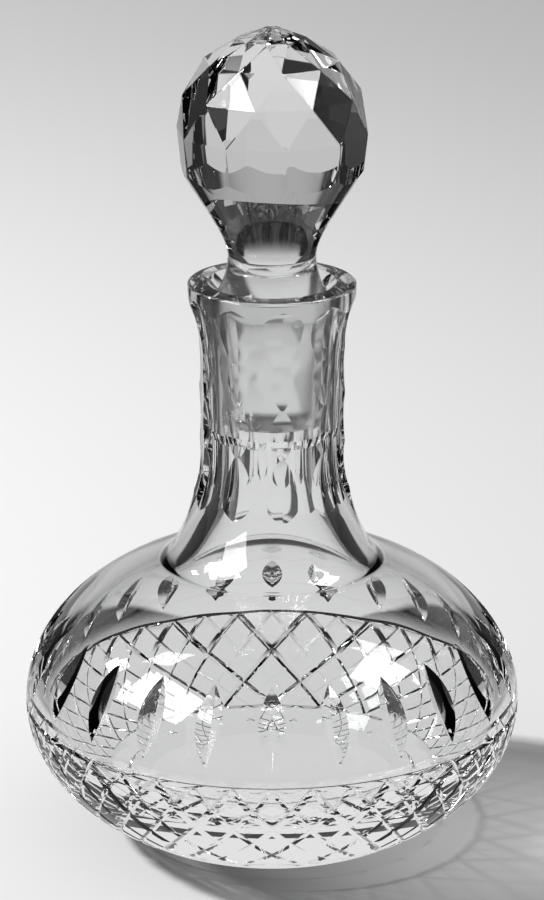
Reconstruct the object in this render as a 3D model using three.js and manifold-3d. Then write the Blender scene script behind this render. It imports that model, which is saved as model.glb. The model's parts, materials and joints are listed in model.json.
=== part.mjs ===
// A cut-glass port decanter with a faceted ball stopper.
// Millimetres, z up, with the foot's centre on the origin.

import * as THREE from 'three';
import { ConvexGeometry } from 'three/addons/geometries/ConvexGeometry.js';
import { mergeVertices } from 'three/addons/utils/BufferGeometryUtils.js';
import Module from 'manifold-3d';

// The outside of the vessel
const footRadius = 45;
const bellyRadius = 82.6;
const bellyHeight = 44;
const shoulderRise = 55;
const shoulderEndRadius = 38;
const shoulderLead = 5;
const neckRadius = 24.6;
const neckFootHeight = 129;
const neckFootLead = 20;
const lipFlareHeight = 168;
const lipFlareLead = 9;
const lipRadius = 27.5;
const lipHeight = 188;
const lipEdge = 1;

// The inside of the vessel
const bellyWall = 7;
const shoulderWall = 6;
const floorThickness = 12;
const boreRadius = 14.2;
const mouthRadius = 21;
const mouthDepth = 3;

// The stopper, whose plug is ground to a taper that seats in the neck
const plugTopRadius = 17.5;
const plugTipRadius = 15;
const plugLength = 43.5;
const plugChamfer = 1;
const seatGap = 0.3;
const socketRunOut = 3;
const shankRadius = 14.4;
const shankHeight = 9;
const shankLead = 6;
const stopperFlareRadius = 21;
const stopperFlareHeight = 24;
const stopperFlareAngle = 32;
const ballRadius = 31.2;
const ballHeight = 51;
const tableRadius = 2.5;
const tableHeight = 83.5;

// The flat panels of the neck, which run out into the flares above and below them
const panelCount = 10;
const panelDepth = 1.4;
const panelTop = 163;
const panelFoot = 131;
const panelWidth = 20;
const panelWheelRadius = 45;
const frontRidgeAngle = -82;

// The leaf-shaped notches, stacked on each ridge between two panels
const notchesPerRidge = 4;
const notchPitch = 17.2;
const topNotchHeight = 177;
const notchDepth = 1.9;
const notchKeel = 0.8;
const notchHalfWidth = 7;
const notchWheelRadius = 26;

// The upright olive cuts round the shoulder of the belly
const oliveCount = 24;
const oliveHeight = 63;
const oliveWidth = 9;
const oliveDepth = 2.9;

// The level mitres round the belly's widest line and just above the foot, and the diamonds that
// crossed mitres of the same section leave standing in the rows between them
const mitreWidth = 3;
const mitreDepth = 1.7;
const lowerMitreHeight = 4;
const diamondCount = 20;
const diamondRows = 4;

// The facets of the ball, between staggered rings of corners, with the angle from each ring to the next.
// The lowest row of facets leans in by a small angle and runs out on the flare below the ball.
const facetCount = 10;
const facetRings = 5;
const facetStep = 23.5;
const lowestFacetAngle = -25;
const lowestFacetLean = 5;

// How finely the round forms are stepped, how close two corners are when they are one, and how far a
// cutter stands out of the glass
const turnSteps = 40;
const arcSteps = 5;
const hollowSteps = 3;
const fineSteps = 40;
const wheelSteps = 40;
const panelSteps = 8;
const mergeDistance = 1e-4;
const overshoot = 6;

const wasm = await Module();
wasm.setup();

function solid(geometry) {
  geometry.deleteAttribute('normal');
  geometry.deleteAttribute('uv');
  const merged = mergeVertices(geometry, mergeDistance);
  const triangles = [];
  for (let i = 0; i < merged.index.count; i += 3) {
    const corners = [0, 1, 2].map((k) => merged.index.getX(i + k));
    if (new Set(corners).size === 3) triangles.push(...corners);
  }
  const vertProperties = new Float32Array(merged.attributes.position.array);
  const triVerts = new Uint32Array(triangles);
  return new wasm.Manifold(new wasm.Mesh({ numProp: 3, vertProperties, triVerts }));
}

function namedMesh(name, manifold, material) {
  const { vertProperties, triVerts } = manifold.getMesh();
  const geometry = new THREE.BufferGeometry();
  geometry.setAttribute('position', new THREE.BufferAttribute(vertProperties, 3));
  geometry.setIndex(new THREE.BufferAttribute(triVerts, 1));
  geometry.computeVertexNormals();
  const mesh = new THREE.Mesh(geometry, material);
  mesh.name = name;
  return mesh;
}

// A turned form, from a profile of radii and heights that starts and ends on the axis
function turned(profile) {
  return solid(new THREE.LatheGeometry(profile, turnSteps).rotateX(Math.PI / 2));
}

function around(count, makeOne) {
  return Array.from({ length: count }, (_, i) => makeOne((i * 2 * Math.PI) / count, i));
}

// The lower belly is part of an ellipse, flattened where it meets the foot
const lowerRise = bellyHeight / Math.sqrt(1 - (footRadius / bellyRadius) ** 2);

// A wheel's cut lies in one plane, so on a ball each crossed mitre is a tilted great circle, and the lower
// belly is that ball, flattened. With this tilt the last row of crossings falls on the lower level mitre.
const halfDiamond = Math.PI / diamondCount;
const lowerMitreLatitude = Math.asin((bellyHeight - lowerMitreHeight) / lowerRise);
const mitreTilt = Math.atan(Math.tan(lowerMitreLatitude) / Math.sin(diamondRows * halfDiamond));
const diamondBaseDepth = 2 * mitreDepth;

// The control point that carries a shoulder's slope on towards the neck
function shoulderLeadPoint(radius, rise, end, endAngle) {
  const climb = (rise * Math.cos(endAngle)) / (radius * Math.sin(endAngle));
  return new THREE.Vector2(end.x - shoulderLead, end.y + shoulderLead * climb);
}

function outerProfile() {
  const footAngle = -Math.asin(bellyHeight / lowerRise);
  const endAngle = Math.acos(shoulderEndRadius / bellyRadius);
  const path = new THREE.Path().moveTo(footRadius, 0);
  path.absellipse(0, bellyHeight, bellyRadius, lowerRise, footAngle, 0);
  path.absellipse(0, bellyHeight, bellyRadius, shoulderRise, 0, endAngle);
  const end = path.currentPoint;
  const lead = shoulderLeadPoint(bellyRadius, shoulderRise, end, endAngle);
  path.bezierCurveTo(lead.x, lead.y, neckRadius, neckFootHeight - neckFootLead, neckRadius, neckFootHeight);
  path.lineTo(neckRadius, lipFlareHeight);
  const edgeFoot = lipHeight - lipEdge;
  path.bezierCurveTo(
    neckRadius, lipFlareHeight + lipFlareLead, lipRadius, edgeFoot - lipFlareLead, lipRadius, edgeFoot);
  path.lineTo(lipRadius - lipEdge, lipHeight);
  return path;
}

function plugRadiusAt(depth) {
  return plugTopRadius + ((plugTipRadius - plugTopRadius) * (depth - mouthDepth)) / plugLength;
}

// From the mouth down to the middle of the floor
function innerProfile() {
  const socketDepth = mouthDepth + plugLength + socketRunOut;
  const innerBelly = bellyRadius - bellyWall;
  const innerRise = shoulderRise - shoulderWall;
  const endRadius = shoulderEndRadius - shoulderWall;
  const endAngle = Math.acos(endRadius / innerBelly);
  const end = new THREE.Vector2(endRadius, bellyHeight + innerRise * Math.sin(endAngle));
  const lead = shoulderLeadPoint(innerBelly, innerRise, end, endAngle);
  const path = new THREE.Path().moveTo(mouthRadius, lipHeight);
  path.lineTo(plugRadiusAt(mouthDepth) + seatGap, lipHeight - mouthDepth);
  path.lineTo(plugRadiusAt(socketDepth) + seatGap, lipHeight - socketDepth);
  path.lineTo(boreRadius, lipHeight - socketDepth - socketRunOut);
  path.lineTo(boreRadius, neckFootHeight);
  path.bezierCurveTo(boreRadius, neckFootHeight - neckFootLead, lead.x, lead.y, end.x, end.y);
  path.absellipse(0, bellyHeight, innerBelly, innerRise, endAngle, 0, true);
  path.absellipse(0, bellyHeight, innerBelly, bellyHeight - floorThickness, 0, -Math.PI / 2, true);
  return path;
}

// The point of the outer profile at a height, with the direction that faces out of the glass there
function onOutside(height) {
  const points = outerProfile().getPoints(fineSteps);
  const i = points.findIndex((point, k) => k > 0 && point.y >= height);
  const [below, above] = [points[i - 1], points[i]];
  const point = below.clone().lerp(above, (height - below.y) / (above.y - below.y));
  const facing = new THREE.Vector2(above.y - below.y, below.x - above.x).normalize();
  return { point, facing };
}

// Turns a cutter made at the origin, with x out of the glass and z up, to its place on the outside
function placeOnOutside(geometry, height, lift, turn) {
  const { point, facing } = onOutside(height);
  const centre = point.clone().addScaledVector(facing, lift);
  geometry.rotateY(-Math.atan2(facing.y, facing.x));
  geometry.translate(centre.x, 0, centre.y);
  return solid(geometry.rotateZ(turn));
}

// A panel is ground with the flat edge of a wheel that comes in, runs down the neck and leaves again
function neckPanel(turn) {
  const depth = neckRadius - panelDepth;
  const back = depth + panelWheelRadius;
  const outline = new THREE.Shape().moveTo(back, panelTop);
  outline.absarc(back, panelTop, panelWheelRadius, Math.PI / 2, Math.PI, false);
  outline.absarc(back, panelFoot, panelWheelRadius, Math.PI, 1.5 * Math.PI, false);
  const bar = new THREE.ExtrudeGeometry(outline,
    { depth: panelWidth, bevelEnabled: false, curveSegments: panelSteps });
  return solid(bar.translate(0, 0, -panelWidth / 2).rotateX(Math.PI / 2).rotateZ(turn));
}

// A wheel that lies in the upright plane through the axis, with a blunt V edge
function vWheel(radius, rim, halfWidth) {
  const outline = [[0, -halfWidth], [radius - rim, -halfWidth], [radius, 0],
    [radius - rim, halfWidth], [0, halfWidth]];
  return new THREE.LatheGeometry(outline.map(([r, z]) => new THREE.Vector2(r, z)), wheelSteps);
}

function ridgeNotches(turn) {
  return Array.from({ length: notchesPerRidge }, (_, row) => placeOnOutside(
    vWheel(notchWheelRadius, notchKeel, notchHalfWidth),
    topNotchHeight - row * notchPitch, notchWheelRadius - notchDepth, turn));
}

function neckCuts() {
  const firstRidge = THREE.MathUtils.degToRad(frontRidgeAngle);
  const halfPanel = Math.PI / panelCount;
  const panels = around(panelCount, (turn) => neckPanel(firstRidge + halfPanel + turn));
  const notches = around(panelCount, (turn) => ridgeNotches(firstRidge + turn));
  return [...panels, ...notches.flat()];
}

// An olive is cut with the edge of a long four-sided bar, because the belly curves away from it
function olives() {
  return around(oliveCount, (turn) => {
    const reach = oliveDepth + overshoot;
    const bar = new THREE.CylinderGeometry(reach, reach, 2 * bellyHeight, 4).rotateX(Math.PI / 2);
    bar.scale(1, oliveWidth / 2 / oliveDepth, 1);
    return placeOnOutside(bar, oliveHeight, overshoot, turn);
  });
}

// A groove with a V section, cut level round the lower belly
function levelMitre(height) {
  const depthAt = (bellyHeight - height) / lowerRise;
  const radius = bellyRadius * Math.sqrt(1 - depthAt ** 2);
  const facing = new THREE.Vector2(radius / bellyRadius ** 2, -depthAt / lowerRise).normalize();
  const along = new THREE.Vector2(-facing.y, facing.x);
  const half = (mitreWidth / 2) * (1 + overshoot / mitreDepth);
  const corner = (out, side) => new THREE.Vector2(radius, height)
    .addScaledVector(facing, out).addScaledVector(along, side);
  const root = corner(-mitreDepth, 0);
  return turned([root, corner(overshoot, -half), corner(overshoot, half), root.clone()]);
}

// A point of a diamond, whose sides run from -1 to 1 in u and in v. It is drawn in from the roots of the
// mitres by an inset, and sunk by a depth. Down the belly the mitres draw together as the spread does.
function diamondPoint(row, turn, u, v, inset, depth) {
  const latitudeAt = (fall) => Math.atan(Math.tan(mitreTilt) * Math.sin(fall));
  const rootLatitude = latitudeAt(halfDiamond * (row + (v - u) / 2));
  const spread = bellyRadius * Math.sqrt(Math.cos(rootLatitude) ** 2 - Math.cos(mitreTilt) ** 2);
  const reach = halfDiamond - inset / spread;
  const latitude = latitudeAt(halfDiamond * row + (reach * (v - u)) / 2);
  const longitude = turn + (reach * (u + v)) / 2;
  const radius = (bellyRadius - depth) * Math.cos(latitude);
  const drop = lowerRise * (1 - depth / bellyRadius) * Math.sin(latitude);
  return new THREE.Vector3(radius * Math.cos(longitude), radius * Math.sin(longitude), bellyHeight - drop);
}

// A diamond has its two side corners and a few points down its middle, from its upper corner to its lower.
// Its sides slope through the roots of the mitres and on into the glass by as much again.
function diamond(row, turn) {
  const middle = [-1, -0.5, 0, 0.5, 1].map((fall) => [-fall, fall]);
  const outline = [[-1, -1], [1, 1], ...middle];
  const top = outline.map(([u, v]) => diamondPoint(row, turn, u, v, mitreWidth / 2, 0));
  const base = outline.map(([u, v]) => diamondPoint(row, turn, u, v, -mitreWidth / 2, diamondBaseDepth));
  return solid(new ConvexGeometry([...top, ...base]));
}

// Everything between the heights of the two level mitres and outside a flattened ball
function bandOutside(radius) {
  const rise = (lowerRise * radius) / bellyRadius;
  const path = new THREE.Path().moveTo(bellyRadius + overshoot, lowerMitreHeight);
  path.lineTo(bellyRadius + overshoot, bellyHeight);
  path.lineTo(radius, bellyHeight);
  const footAngle = -Math.asin((bellyHeight - lowerMitreHeight) / rise);
  path.absellipse(0, bellyHeight, radius, rise, 0, footAngle, true);
  path.closePath();
  return turned(path.getPoints(arcSteps));
}

// The diamonds stand on glass that is sunk to between the roots of the mitres and their own bases
function diamondBand(blank) {
  const rows = Array.from({ length: diamondRows + 1 }, (_, row) => around(diamondCount, (turn) => (
    diamond(row, turn + (row % 2) * halfDiamond))));
  const diamonds = rows.flat().reduce((band, next) => band.add(next));
  const sunk = blank.subtract(bandOutside(bellyRadius - (mitreDepth + diamondBaseDepth) / 2));
  return sunk.add(diamonds.intersect(bandOutside(bellyRadius - diamondBaseDepth)));
}

// A blank that is cut all over the outside, and then hollowed
function decanterBody() {
  const blank = turned([new THREE.Vector2(0, 0), ...outerProfile().getPoints(arcSteps),
    new THREE.Vector2(0, lipHeight)]);
  const above = lipHeight + overshoot;
  const hollow = turned([...innerProfile().getPoints(hollowSteps).reverse(),
    new THREE.Vector2(mouthRadius, above), new THREE.Vector2(0, above)]);
  const cuts = [...neckCuts(), ...olives(), levelMitre(bellyHeight), levelMitre(lowerMitreHeight), hollow];
  return cuts.reduce((glass, cut) => glass.subtract(cut), diamondBand(blank));
}

// The corners of one ring of facets, each ring turned by half a facet from the one below it
function facetCorners(ring, radius, height) {
  const firstCorner = THREE.MathUtils.degToRad(frontRidgeAngle) + ((ring + 1) % 2) * (Math.PI / facetCount);
  return around(facetCount, (turn) => new THREE.Vector3(
    radius * Math.cos(turn + firstCorner), radius * Math.sin(turn + firstCorner), height));
}

// Everything inside the planes of the facets, with the lowest planes carried down past the plug
function insideTheFacets(foot) {
  const corners = facetCorners(facetRings, tableRadius, lipHeight + tableHeight);
  for (let ring = 0; ring < facetRings; ring += 1) {
    const angle = THREE.MathUtils.degToRad(lowestFacetAngle + ring * facetStep);
    const height = lipHeight + ballHeight + ballRadius * Math.sin(angle);
    corners.push(...facetCorners(ring, ballRadius * Math.cos(angle), height));
  }
  const lowest = THREE.MathUtils.degToRad(lowestFacetAngle);
  const drop = lipHeight + ballHeight + ballRadius * Math.sin(lowest) - foot;
  const footRing = ballRadius * Math.cos(lowest) - drop * Math.tan(THREE.MathUtils.degToRad(lowestFacetLean));
  corners.push(...facetCorners(0, footRing, foot));
  return solid(new ConvexGeometry(corners));
}

// A turned blank whose ball is ground to facets
function stopper() {
  const top = lipHeight - mouthDepth;
  const tip = top - plugLength;
  const flareTop = lipHeight + stopperFlareHeight;
  const flareSlope = Math.tan(THREE.MathUtils.degToRad(stopperFlareAngle));
  const blankRadius = ballRadius + overshoot;
  const path = new THREE.Path().moveTo(0, tip);
  path.lineTo(plugTipRadius - plugChamfer, tip);
  path.lineTo(plugTipRadius, tip + plugChamfer);
  path.lineTo(plugTopRadius, top);
  path.quadraticCurveTo(shankRadius, top + shankLead, shankRadius, lipHeight + shankHeight);
  const flareLead = flareTop - (stopperFlareRadius - shankRadius) / flareSlope;
  path.quadraticCurveTo(shankRadius, flareLead, stopperFlareRadius, flareTop);
  path.lineTo(blankRadius, flareTop + (blankRadius - stopperFlareRadius) / flareSlope);
  path.lineTo(blankRadius, lipHeight + tableHeight + overshoot);
  path.lineTo(0, lipHeight + tableHeight + overshoot);
  return turned(path.getPoints(arcSteps)).intersect(insideTheFacets(tip - overshoot));
}

const cutGlass = new THREE.MeshStandardMaterial({ color: 0xe8ecec, roughness: 0.05, metalness: 0 });

const decanter = new THREE.Group();
const bodyMesh = namedMesh('decanter_body', decanterBody(), cutGlass);
const stopperMesh = namedMesh('stopper', stopper(), cutGlass.clone());
decanter.add(bodyMesh, stopperMesh);

export default decanter;
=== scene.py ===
import json
from math import acos, asin, atan, cos, pi, radians, sin, sqrt, tan

import bmesh
import bpy
from mathutils import Matrix, Vector

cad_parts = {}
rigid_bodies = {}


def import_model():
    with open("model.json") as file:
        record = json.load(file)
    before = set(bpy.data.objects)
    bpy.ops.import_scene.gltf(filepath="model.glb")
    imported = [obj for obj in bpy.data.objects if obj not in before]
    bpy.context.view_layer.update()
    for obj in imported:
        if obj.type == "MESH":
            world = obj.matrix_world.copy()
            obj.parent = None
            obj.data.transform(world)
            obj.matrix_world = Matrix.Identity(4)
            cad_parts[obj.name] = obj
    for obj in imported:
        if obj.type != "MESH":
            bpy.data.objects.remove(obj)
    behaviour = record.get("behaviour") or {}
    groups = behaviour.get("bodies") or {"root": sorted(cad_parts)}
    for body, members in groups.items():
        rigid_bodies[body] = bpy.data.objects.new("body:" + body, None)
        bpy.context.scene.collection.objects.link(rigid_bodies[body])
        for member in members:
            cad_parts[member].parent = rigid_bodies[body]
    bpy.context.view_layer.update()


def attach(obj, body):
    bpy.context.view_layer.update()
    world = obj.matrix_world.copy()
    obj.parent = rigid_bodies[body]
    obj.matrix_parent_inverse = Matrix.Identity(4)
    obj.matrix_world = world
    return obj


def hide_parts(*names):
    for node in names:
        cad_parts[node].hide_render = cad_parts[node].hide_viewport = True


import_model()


# The vessel
# One wall of clear lead crystal, blown into a mould and opened at the lip. Everything after this is
# cut into it. The inside of the neck is ground to a taper where the stopper seats.
foot_radius = 0.045
belly_radius = 0.0826
belly_height = 0.044
shoulder_rise = 0.055
shoulder_end_radius = 0.038
shoulder_lead = 0.005
neck_radius = 0.0246
neck_foot_height = 0.129
neck_foot_lead = 0.020
lip_flare_height = 0.168
lip_flare_lead = 0.009
lip_radius = 0.0275
lip_height = 0.188
lip_edge = 0.001

belly_wall = 0.007
shoulder_wall = 0.006
floor_thickness = 0.012
bore_radius = 0.0142
mouth_radius = 0.021
mouth_depth = 0.003
seat_gap = 0.0003
socket_run_out = 0.003

plug_top_radius = 0.0175
plug_tip_radius = 0.015
plug_length = 0.0435

belly_steps = 36
neck_curve_steps = 28
lip_flare_steps = 14
lip_edge_steps = 8
round_steps = 192
merge_distance = 1e-7

# The lower belly is part of an ellipse, flattened where it meets the foot
lower_rise = belly_height / sqrt(1 - (foot_radius / belly_radius) ** 2)
socket_depth = mouth_depth + plug_length + socket_run_out


def ellipse_arc(radius, rise, centre, start, end, steps):
    angles = [start + (end - start) * i / steps for i in range(steps + 1)]
    return [(radius * cos(angle), centre + rise * sin(angle)) for angle in angles]


def bezier(a, b, c, d, steps):
    points = []
    for i in range(steps + 1):
        t = i / steps
        u = 1 - t
        weights = (u**3, 3 * u * u * t, 3 * u * t * t, t**3)
        points.append(tuple(sum(w * p[k] for w, p in zip(weights, (a, b, c, d))) for k in (0, 1)))
    return points


def shoulder_to_neck(radius, rise, end_radius, neck):
    """The hollow curve from where the shoulder's ellipse ends up into the neck."""
    angle = acos(end_radius / radius)
    end = (end_radius, belly_height + rise * sin(angle))
    climb = rise * cos(angle) / (radius * sin(angle))
    lead = (end[0] - shoulder_lead, end[1] + shoulder_lead * climb)
    return bezier(end, lead, (neck, neck_foot_height - neck_foot_lead), (neck, neck_foot_height),
                  neck_curve_steps)


def outside():
    end_angle = acos(shoulder_end_radius / belly_radius)
    foot_angle = -asin(belly_height / lower_rise)
    edge_foot = lip_height - lip_edge
    points = ellipse_arc(belly_radius, lower_rise, belly_height, foot_angle, 0, belly_steps)
    points += ellipse_arc(belly_radius, shoulder_rise, belly_height, 0, end_angle, belly_steps)[1:]
    points += shoulder_to_neck(belly_radius, shoulder_rise, shoulder_end_radius, neck_radius)[1:]
    points += bezier((neck_radius, lip_flare_height), (neck_radius, lip_flare_height + lip_flare_lead),
                     (lip_radius, edge_foot - lip_flare_lead), (lip_radius, edge_foot), lip_flare_steps)
    rounded = ellipse_arc(lip_edge, lip_edge, edge_foot, 0, pi / 2, lip_edge_steps)[1:]
    return points + [(lip_radius - lip_edge + radius, height) for radius, height in rounded]


def plug_radius(depth):
    return plug_top_radius + (plug_tip_radius - plug_top_radius) * (depth - mouth_depth) / plug_length


def inside():
    radius = belly_radius - belly_wall
    rise = shoulder_rise - shoulder_wall
    end_radius = shoulder_end_radius - shoulder_wall
    points = [(mouth_radius, lip_height)]
    points += [(plug_radius(mouth_depth) + seat_gap, lip_height - mouth_depth)]
    points += [(plug_radius(socket_depth) + seat_gap, lip_height - socket_depth)]
    points += [(bore_radius, lip_height - socket_depth - socket_run_out)]
    points += reversed(shoulder_to_neck(radius, rise, end_radius, bore_radius))
    points += ellipse_arc(radius, rise, belly_height, acos(end_radius / radius), 0, belly_steps)[1:]
    floor_rise = belly_height - floor_thickness
    points += ellipse_arc(radius, floor_rise, belly_height, 0, -pi / 2, belly_steps)[1:-1]
    return points + [(0, floor_thickness)]


def turned(outline, steps=round_steps):
    """A round form, from an outline that starts and ends on the axis or closes on itself."""
    form = bmesh.new()
    corners = [form.verts.new((radius, 0, height)) for radius, height in outline]
    sides = [form.edges.new(pair) for pair in zip(corners, corners[1:])]
    bmesh.ops.spin(form, geom=corners + sides, cent=(0, 0, 0), axis=(0, 0, 1),
                   angle=2 * pi, steps=steps, use_merge=True)
    bmesh.ops.remove_doubles(form, verts=form.verts, dist=merge_distance)
    bmesh.ops.recalc_face_normals(form, faces=form.faces)
    return form


def one_surface(form, number):
    """Numbers a form's faces, so that its surface is still known after the cutting."""
    layer = form.faces.layers.int.new("surface")
    for face in form.faces:
        face[layer] = number
    return form


def as_object(form, name):
    mesh = bpy.data.meshes.new(name)
    form.to_mesh(mesh)
    form.free()
    thing = bpy.data.objects.new(name, mesh)
    bpy.context.scene.collection.objects.link(thing)
    return thing


class Wire:
    """A socket of a node tree. Sums and products of wires and numbers add Math nodes to the tree."""

    def __init__(self, tree, socket=None):
        self.tree = tree
        self.socket = socket

    def node(self, kind, settings, inputs):
        """Adds a node and gives its first output, if it has any."""
        made = self.tree.nodes.new("ShaderNode" + kind)
        for name, value in settings.items():
            setattr(made, name, value)
        for name, value in inputs.items():
            if isinstance(value, Wire):
                self.tree.links.new(value.socket, made.inputs[name])
            else:
                made.inputs[name].default_value = value
        return Wire(self.tree, made.outputs[0] if made.outputs else None)

    def output(self, name):
        """Another output of the node that this wire comes from."""
        return Wire(self.tree, self.socket.node.outputs[name])

    def math(self, operation, *others):
        return self.node("Math", {"operation": operation}, dict(enumerate((self, *others))))

    def __add__(self, other):
        return self.math("ADD", other)

    def __sub__(self, other):
        return self.math("SUBTRACT", other)

    def __rsub__(self, other):
        return self.math("MULTIPLY", -1) + other

    def __mul__(self, other):
        return self.math("MULTIPLY", other)

    __radd__ = __add__
    __rmul__ = __mul__

    def step(self, start, end):
        """0 below start and 1 above end, with a soft step between."""
        return self.node("MapRange", {"interpolation_type": "SMOOTHSTEP"},
                         {"Value": self, "From Min": start, "From Max": end})


glass_tint = (0.985, 0.99, 0.988, 1)
glass_ior = 1.55
ground_roughness = 0.16
ground_reach = 0.0188
ground_fade = 0.0006
wave_scale = 38
wave_height = 0.00012
shadow_slant = 0.65
shadow_dim = (0.1, 0.1, 0.1, 1)
shadow_clear = (0.99, 0.99, 0.99, 1)


def clear_crystal(name, ground_foot, ground_top):
    """Polished lead crystal, ground dull near the axis between two heights."""
    material = bpy.data.materials.new(name)
    material.use_nodes = True
    tree = material.node_tree
    tree.nodes.clear()
    start = Wire(tree)
    place = start.node("TexCoord", {}, {}).output("Object")
    across = start.node("SeparateXYZ", {}, {"Vector": place})
    along = across.output("Y")
    height = across.output("Z")
    from_axis = (across * across + along * along).math("SQRT")
    ground = height.step(ground_foot, ground_foot + ground_fade)
    ground *= 1 - height.step(ground_top - ground_fade, ground_top)
    ground *= 1 - from_axis.step(ground_reach, ground_reach + ground_fade)

    unevenness = start.node("TexNoise", {}, {"Vector": place, "Scale": wave_scale, "Detail": 1.0})
    waves = start.node("Bump", {}, {"Height": unevenness, "Distance": wave_height})
    glass = start.node("BsdfPrincipled", {}, {
        "Base Color": glass_tint, "Roughness": ground * ground_roughness, "IOR": glass_ior,
        "Transmission Weight": 1.0, "Normal": waves})

    # Light on its way to the paper goes straight through, and is dimmed where the glass is at a slant
    rays = start.node("LightPath", {}, {})
    passes = rays.output("Is Shadow Ray").math("MAXIMUM", rays.output("Is Diffuse Ray"))
    slant = start.node("LayerWeight", {}, {"Blend": shadow_slant}).output("Facing")
    dim = start.node("BsdfTransparent", {}, {"Color": shadow_dim})
    clear = start.node("BsdfTransparent", {}, {"Color": shadow_clear})
    shaded = start.node("MixShader", {}, {0: passes, 1: glass, 2: dim})
    finish = start.node("MixShader", {}, {0: passes * (1 - slant), 1: shaded, 2: clear})
    start.node("OutputMaterial", {}, {"Surface": finish})
    return material


vessel = as_object(one_surface(turned([(0, 0)] + outside() + inside()), 0), "crystal_vessel")
vessel.data.materials.append(clear_crystal(
    "body_crystal", lip_height - socket_depth, lip_height - mouth_depth))
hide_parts("decanter_body")
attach(vessel, "decanter")


# The panels of the neck
# Ten upright flats, ground with the flat edge of a large wheel that comes in, runs down the neck and
# leaves again, so that they end in arcs. They are cut first, because the notches cross their ridges.
panel_count = 10
panel_depth = 0.0014
panel_top = 0.163
panel_foot = 0.131
panel_width = 0.020
panel_wheel_radius = 0.045
panel_end_steps = 40
front_ridge = radians(-82)


def shape(thing, cutters, operation="DIFFERENCE"):
    """Cuts a piece with a list of closed forms, or keeps what lies inside them. It uses them up."""
    tools = bpy.data.collections.new("tools")
    bpy.context.scene.collection.children.link(tools)
    for i, cutter in enumerate(cutters):
        mesh = bpy.data.meshes.new("cutter")
        cutter.to_mesh(mesh)
        cutter.free()
        tools.objects.link(bpy.data.objects.new(f"cutter_{i}", mesh))
    cuts = thing.modifiers.new("cuts", "BOOLEAN")
    cuts.operation = operation
    cuts.operand_type = "COLLECTION"
    cuts.collection = tools
    cuts.solver = "MANIFOLD"
    shaped = bpy.data.meshes.new_from_object(thing.evaluated_get(bpy.context.evaluated_depsgraph_get()))
    thing.modifiers.remove(cuts)
    thing.data = shaped
    for cutter in list(tools.objects):
        bpy.data.meshes.remove(cutter.data)
    bpy.data.collections.remove(tools)


def neck_panel(turn):
    """The room that the wheel takes as it runs down the neck, turned round the axis."""
    wheel = panel_wheel_radius
    back = neck_radius - panel_depth + wheel
    edge = ellipse_arc(wheel, wheel, panel_top, pi / 2, pi, panel_end_steps)
    edge += ellipse_arc(wheel, wheel, panel_foot, pi, 1.5 * pi, panel_end_steps)
    panel = bmesh.new()
    outline = panel.faces.new([panel.verts.new((back + r, -panel_width / 2, z)) for r, z in edge])
    side = bmesh.ops.extrude_face_region(panel, geom=[outline])["geom"]
    bmesh.ops.translate(panel, vec=(0, panel_width, 0),
                        verts=[part for part in side if isinstance(part, bmesh.types.BMVert)])
    bmesh.ops.recalc_face_normals(panel, faces=panel.faces)
    bmesh.ops.rotate(panel, cent=(0, 0, 0), matrix=Matrix.Rotation(turn, 3, "Z"), verts=panel.verts)
    return panel


panels = []
for i in range(panel_count):
    panels.append(one_surface(neck_panel(front_ridge + 2 * pi * (i + 0.5) / panel_count), 1 + i))
shape(vessel, panels)


# The leaf notches of the neck
# A stack of short pointed cuts down each ridge between two panels, each made by one touch of a wheel
# with a blunt V edge, so that the ridges stand in thorns.
notches_per_ridge = 4
notch_pitch = 0.0172
top_notch_height = 0.177
notch_depth = 0.0019
notch_keel = 0.0008
notch_half_width = 0.007
notch_wheel_radius = 0.026
wheel_steps = 256


def on_outside(height):
    """The radius of the outside at a height, and the direction in which the glass faces out there."""
    outline = outside()
    for (r0, z0), (r1, z1) in zip(outline, outline[1:]):
        if z0 <= height < z1:
            share = (height - z0) / (z1 - z0)
            return r0 + (r1 - r0) * share, Vector((z1 - z0, r0 - r1)).normalized()


def v_wheel(radius, rim, half_width, height, depth, turn):
    """A wheel with a V edge, upright in the plane through the axis, at its depth in the outside."""
    outline = [(0, -half_width), (radius - rim, -half_width), (radius, 0), (radius - rim, half_width),
               (0, half_width)]
    wheel = turned(outline, wheel_steps)
    layer = wheel.faces.layers.int.new("surface")
    for face in wheel.faces:
        face[layer] = 1 if face.calc_center_median().z > 0 else 2
    at, facing = on_outside(height)
    lift = radius - depth
    place = Matrix.Translation((at + facing.x * lift, 0, height + facing.y * lift))
    place = Matrix.Rotation(turn, 4, "Z") @ place @ Matrix.Rotation(pi / 2, 4, "X")
    bmesh.ops.transform(wheel, matrix=place, verts=wheel.verts)
    return wheel


notches = []
for i in range(panel_count):
    for row in range(notches_per_ridge):
        height = top_notch_height - row * notch_pitch
        turn = front_ridge + 2 * pi * i / panel_count
        notches.append(v_wheel(notch_wheel_radius, notch_keel, notch_half_width, height, notch_depth,
                               turn))
shape(vessel, notches)


# The olives
# A level row of upright cuts with pointed ends round the shoulder of the belly, each made by one
# touch of a larger wheel with a steeper V edge.
olive_count = 24
olive_height = 0.063
olive_rim = 0.0058
olive_half_width = 0.009
olive_depth = 0.0029
olive_wheel_radius = 0.110

olives = []
for i in range(olive_count):
    olives.append(v_wheel(olive_wheel_radius, olive_rim, olive_half_width, olive_height, olive_depth,
                          2 * pi * i / olive_count))
shape(vessel, olives)


# The diamond band
# Mitres that cross on the lower belly, a level mitre above and below that stops them, and a fine
# mitre between each two that hatches the diamonds. A wheel's cut lies in one plane, so on a ball
# each crossed mitre is a great circle, tilted. The belly is that ball, flattened with its cuts.
mitre_width = 0.003
mitre_depth = 0.0012
lower_mitre_height = 0.004
diamond_count = 20
diamond_rows = 4
hatch_lines = 1
hatch_width = 0.0022
hatch_depth = 0.0006
mitre_steps = 180
overshoot = 0.006

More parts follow.
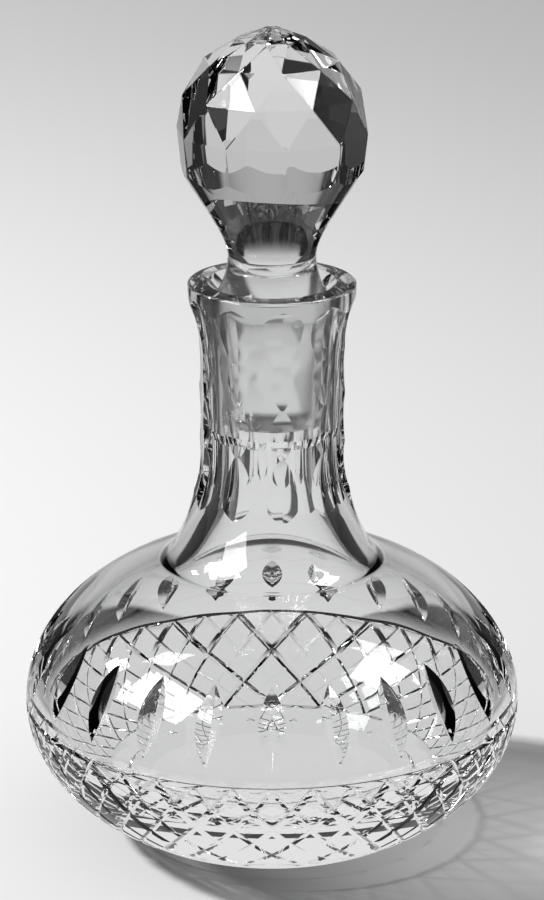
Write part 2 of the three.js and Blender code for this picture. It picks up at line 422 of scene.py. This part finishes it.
# With this tilt the last row of crossings falls on the lower level mitre
lower_mitre_latitude = asin((belly_height - lower_mitre_height) / lower_rise)
mitre_tilt = atan(tan(lower_mitre_latitude) / sin(diamond_rows * pi / diamond_count))


def mitre_ring(width, depth, drop, tilt, turn):
    """A ring with a V edge, at its depth in the flattened ball. The drop is below the widest line."""
    radius = sqrt(belly_radius**2 - drop**2)
    half = width / 2 * (1 + overshoot / depth)
    section = [(radius - depth, 0), (radius + overshoot, half), (radius + overshoot, -half),
               (radius - depth, 0)]
    ring = turned(section, mitre_steps)
    flatten = Matrix.Diagonal((1, 1, lower_rise / belly_radius, 1))
    place = Matrix.Translation((0, 0, belly_height)) @ flatten @ Matrix.Rotation(turn, 4, "Z")
    place = place @ Matrix.Rotation(tilt, 4, "X") @ Matrix.Translation((0, 0, -drop))
    bmesh.ops.transform(ring, matrix=place, verts=ring.verts)
    return one_surface(ring, 1)


def trimmed(form, height, keep_below):
    """Cuts a form off level and closes the ends."""
    everything = form.verts[:] + form.edges[:] + form.faces[:]
    cut = bmesh.ops.bisect_plane(form, geom=everything, plane_co=(0, 0, height), plane_no=(0, 0, 1),
                                 clear_outer=keep_below, clear_inner=not keep_below)
    edges = [part for part in cut["geom_cut"] if isinstance(part, bmesh.types.BMEdge)]
    bmesh.ops.holes_fill(form, edges=edges)
    return form


mitres = []
lines = diamond_count * (1 + hatch_lines)
for i in range(lines):
    width, depth = (hatch_width, hatch_depth) if i % (1 + hatch_lines) else (mitre_width, mitre_depth)
    ring = mitre_ring(width, depth, 0, mitre_tilt, pi / diamond_count + 2 * pi * i / lines)
    mitres.append(trimmed(trimmed(ring, belly_height, True), lower_mitre_height, False))
for height in (belly_height, lower_mitre_height):
    drop = (belly_height - height) * belly_radius / lower_rise
    mitres.append(mitre_ring(mitre_width, mitre_depth, drop, 0, 0))
shape(vessel, mitres)

crisp_corner = radians(12)


def polished(thing):
    """Rounds the shading within each cut surface, and keeps the edges between them crisp."""
    form = bmesh.new()
    form.from_mesh(thing.data)
    layer = form.faces.layers.int.get("surface")
    for face in form.faces:
        face.smooth = True
    for edge in form.edges:
        numbers = {face[layer] for face in edge.link_faces}
        edge.smooth = len(numbers) == 1 and edge.calc_face_angle(0) < crisp_corner
    form.to_mesh(thing.data)
    form.free()


polished(vessel)


# The stopper
# One solid piece of crystal. The ball of the turned blank is ground into flat facets between
# staggered rings of corners, and the lowest row runs out on the flare below it in scallops. The plug
# is ground to the taper of the neck.
plug_chamfer = 0.001
shank_radius = 0.0144
shank_height = 0.009
shank_lead = 0.006
flare_radius = 0.021
flare_height = 0.024
flare_angle = radians(32)
shank_steps = 16
ball_radius = 0.0312
ball_height = 0.051
table_radius = 0.0025
table_height = 0.0835
facet_count = 10
facet_rings = 5
facet_step = radians(23.5)
lowest_facet = radians(-25)
lowest_facet_lean = radians(5)
facet_edge = 0.00018
flat_within = radians(0.5)


def quadratic(a, b, c, steps):
    first = tuple(p + (q - p) * 2 / 3 for p, q in zip(a, b))
    second = tuple(r + (q - r) * 2 / 3 for q, r in zip(b, c))
    return bezier(a, first, second, c, steps)


def turned_blank():
    top = lip_height - mouth_depth
    tip = top - plug_length
    flare_top = lip_height + flare_height
    slope = tan(flare_angle)
    shank = (shank_radius, lip_height + shank_height)
    points = [(0, tip), (plug_tip_radius - plug_chamfer, tip), (plug_tip_radius, tip + plug_chamfer)]
    points += quadratic((plug_top_radius, top), (shank_radius, top + shank_lead), shank, shank_steps)
    lead = flare_top - (flare_radius - shank_radius) / slope
    points += quadratic(shank, (shank_radius, lead), (flare_radius, flare_top), shank_steps)[1:]
    blank_radius = ball_radius + overshoot
    blank_top = lip_height + table_height + overshoot
    points += [(blank_radius, flare_top + (blank_radius - flare_radius) / slope)]
    return turned(points + [(blank_radius, blank_top), (0, blank_top)])


def inside_the_facets():
    """Everything inside the planes of the facets, the lowest of them carried down past the plug."""
    foot = lip_height - mouth_depth - plug_length - overshoot
    lowest_height = lip_height + ball_height + ball_radius * sin(lowest_facet)
    foot_ring = ball_radius * cos(lowest_facet) - (lowest_height - foot) * tan(lowest_facet_lean)
    rings = [(foot_ring, foot, 0), (table_radius, lip_height + table_height, facet_rings)]
    for k in range(facet_rings):
        angle = lowest_facet + k * facet_step
        rings.append((ball_radius * cos(angle), lip_height + ball_height + ball_radius * sin(angle), k))
    facets = bmesh.new()
    for radius, height, k in rings:
        for i in range(facet_count):
            turn = front_ridge + 2 * pi * (i + (k + 1) % 2 / 2) / facet_count
            facets.verts.new((radius * cos(turn), radius * sin(turn), height))
    bmesh.ops.convex_hull(facets, input=facets.verts)
    bmesh.ops.dissolve_limit(facets, angle_limit=flat_within, verts=facets.verts, edges=facets.edges)
    bmesh.ops.bevel(facets, geom=facets.edges, offset=facet_edge, offset_type="OFFSET", affect="EDGES",
                    segments=1, profile=0.5, material=-1)
    bmesh.ops.recalc_face_normals(facets, faces=facets.faces)
    layer = facets.faces.layers.int.new("surface")
    for i, face in enumerate(facets.faces):
        face[layer] = 1 + i
    return facets


stopper = as_object(one_surface(turned_blank(), 0), "crystal_stopper")
stopper.data.materials.append(clear_crystal(
    "stopper_crystal", lip_height - mouth_depth - plug_length + plug_chamfer, lip_height - mouth_depth))
shape(stopper, [inside_the_facets()], "INTERSECT")
polished(stopper)
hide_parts("stopper")
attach(stopper, "stopper")


# The paper
# The piece stands on a large sheet of white paper. Seen in the glass, the paper glows with painted
# light:
# a lit wedge that widens to the back and a lit round under the foot, dimmer towards the back, with
# painted dark sides in place of black cards, from which the glass draws its dark edges, and a painted
# dim room past them. To the camera the paper has painted shade: darker towards the back, and darker on
# the key lamp's side against that lamp's pool of light.
# Painted shade seen by the camera: the paper's colour falls from near to far, and dims towards the key
# lamp's side
paper_near = 0.89
paper_far = 0.66
paper_far_off = 1.3
lamp_side_starts = 0.15
lamp_side_ends = 0.75
lamp_side_dims = 0.62
# Painted light seen in the glass: the paper glows lit near the piece and dimmer far off, dark on the
# painted dark sides and dim in the painted room
near_in_glass = 0.76
far_in_glass = 0.55
dark_in_glass = 0.02
room_in_glass = 0.5
paper_starts = 0.15
paper_half_angle = radians(30)
dark_sides_end = radians(78)
soft_edge = radians(5)
round_sheet = 0.18
sheet_edge = 0.08
paper_half_size = 6
paper_gives = 0.0001


def between_dark_sides(across, along, starts, half_angle):
    """1 within a wedge that opens to the back, 0 on the dark sides beside it, the room's share past
    them.
    """
    angle = across.math("ABSOLUTE").math("ARCTAN2", along - starts)
    past = angle.step(dark_sides_end, dark_sides_end + soft_edge)
    return 1 - angle.step(half_angle, half_angle + soft_edge) + past * room_in_glass


def grey(level):
    return level.node("CombineColor", {}, {0: level, 1: level, 2: level})


def seen_by_glass(start):
    """1 for what is seen in the glass, by transmission or by reflection."""
    rays = start.node("LightPath", {}, {})
    return rays.output("Is Transmission Ray").math("MAXIMUM", rays.output("Is Glossy Ray"))


# The sheet lies a tenth of a millimetre over the foot's flat, so that no film of air parts them
floor_form = bmesh.new()
bmesh.ops.create_grid(floor_form, x_segments=1, y_segments=1, size=paper_half_size)
bmesh.ops.translate(floor_form, vec=(0, 0, paper_gives), verts=floor_form.verts)
floor = as_object(floor_form, "floor")
floor_paint = bpy.data.materials.new("floor_paint")
floor_paint.use_nodes = True
floor_paint.node_tree.nodes.clear()
start = Wire(floor_paint.node_tree)
across = start.node("SeparateXYZ", {}, {"Vector": start.node("TexCoord", {}, {}).output("Object")})
along = across.output("Y")
off = (across * across + along * along).math("SQRT")
# Painted light for the glass: a lit round under the foot and a lit wedge between painted dark sides,
# glowing dimmer with distance
sheet = 1 - off.step(round_sheet, round_sheet + sheet_edge)
paper = between_dark_sides(across, along, paper_starts, paper_half_angle).math("MAXIMUM", sheet)
lit = near_in_glass + (far_in_glass - near_in_glass) * off.step(0, paper_far_off)
in_glass = dark_in_glass + (lit - dark_in_glass) * paper
# Painted shade for the camera: the paper darker far off, and darker on the key lamp's side against that
# lamp's pool of light
shown = paper_near + (paper_far - paper_near) * off.step(0, paper_far_off)
shown *= 1 - lamp_side_dims * (across * -1).step(lamp_side_starts, lamp_side_ends)
paint = start.node("BsdfDiffuse", {}, {"Color": grey(shown)})
# The paper glows with this painted light wherever the glass looks at it
painted_glow_in_glass = start.node("Emission", {}, {"Color": grey(in_glass)})
surface = start.node("MixShader", {}, {0: seen_by_glass(start), 1: paint, 2: painted_glow_in_glass})
start.node("OutputMaterial", {}, {"Surface": surface})
floor.data.materials.append(floor_paint)


# The backdrop
# A pale wall past the paper, which is plain grey to the camera. In the glass it is a lit sheet between
# the two dark sides, fading out upwards, and the room above and around it sheds a little soft light.
room_light = 0.3
backdrop_in_glass = 0.55
backdrop_half_angle = radians(25)
backdrop_top = 0.45
backdrop_shown = 0.7

world = bpy.data.worlds.new("studio")
bpy.context.scene.world = world
world.use_nodes = True
world.node_tree.nodes.clear()
start = Wire(world.node_tree)
across = start.node("SeparateXYZ", {}, {"Vector": start.node("TexCoord", {}, {}).output("Generated")})
backdrop = between_dark_sides(across, across.output("Y"), 0, backdrop_half_angle)
backdrop *= 1 - across.output("Z").step(0, backdrop_top)
in_glass = dark_in_glass + (backdrop_in_glass - dark_in_glass) * backdrop
by_camera = start.node("LightPath", {}, {}).output("Is Camera Ray")
level = room_light + by_camera * (backdrop_shown - room_light)
level = level + seen_by_glass(start) * (in_glass - level)
start.node("OutputWorld", {}, {"Surface": start.node("Background", {}, {"Color": grey(level)})})


# The lamps
# Two softboxes that only shine in the glass, as white windows on the belly and the ball, and a small
# key lamp to the left that lights the paper and casts the shadow.
lamps_aim_at = Vector((0, 0, 0.1))


def lamp_at(name, side, height, distance, size, power):
    """A lamp aimed at the piece, with side 0 towards the camera and rising to the right."""
    lamp = bpy.data.lights.new(name, "AREA")
    lamp.shape = "RECTANGLE"
    lamp.size, lamp.size_y = size
    lamp.energy = power
    place = Vector((sin(side) * cos(height), -cos(side) * cos(height), sin(height))) * distance
    box = bpy.data.objects.new(name, lamp)
    box.location = place + lamps_aim_at
    box.rotation_euler = (-place).to_track_quat("-Z", "Y").to_euler()
    bpy.context.scene.collection.objects.link(box)
    return box


left_softbox = lamp_at("left_softbox", side=radians(-65), height=radians(38), distance=1.6,
                       size=(0.9, 0.6), power=20)
left_softbox.visible_diffuse = False
right_softbox = lamp_at("right_softbox", side=radians(82), height=radians(50), distance=1.6,
                        size=(0.5, 0.5), power=9)
right_softbox.visible_diffuse = False
lamp_at("key_lamp", side=radians(-105), height=radians(34), distance=2.4, size=(0.25, 0.25), power=68)


# The camera
# A long lens in front of the piece, raised well above it and tipped down. Its place and tilt were
# fitted to the outline in the photo.
camera_back = 1.1597
camera_height = 0.516
camera_pitch = radians(18.405)

camera_data = bpy.data.cameras.new("camera")
camera_data.sensor_fit = "VERTICAL"
camera_data.sensor_height = 36
camera_data.lens = 148.4
camera = bpy.data.objects.new("camera", camera_data)
camera.location = (0, -camera_back, camera_height)
camera.rotation_euler = (pi / 2 - camera_pitch, 0, 0)
bpy.context.scene.collection.objects.link(camera)
bpy.context.scene.camera = camera

bpy.context.scene.view_settings.view_transform = "Standard"
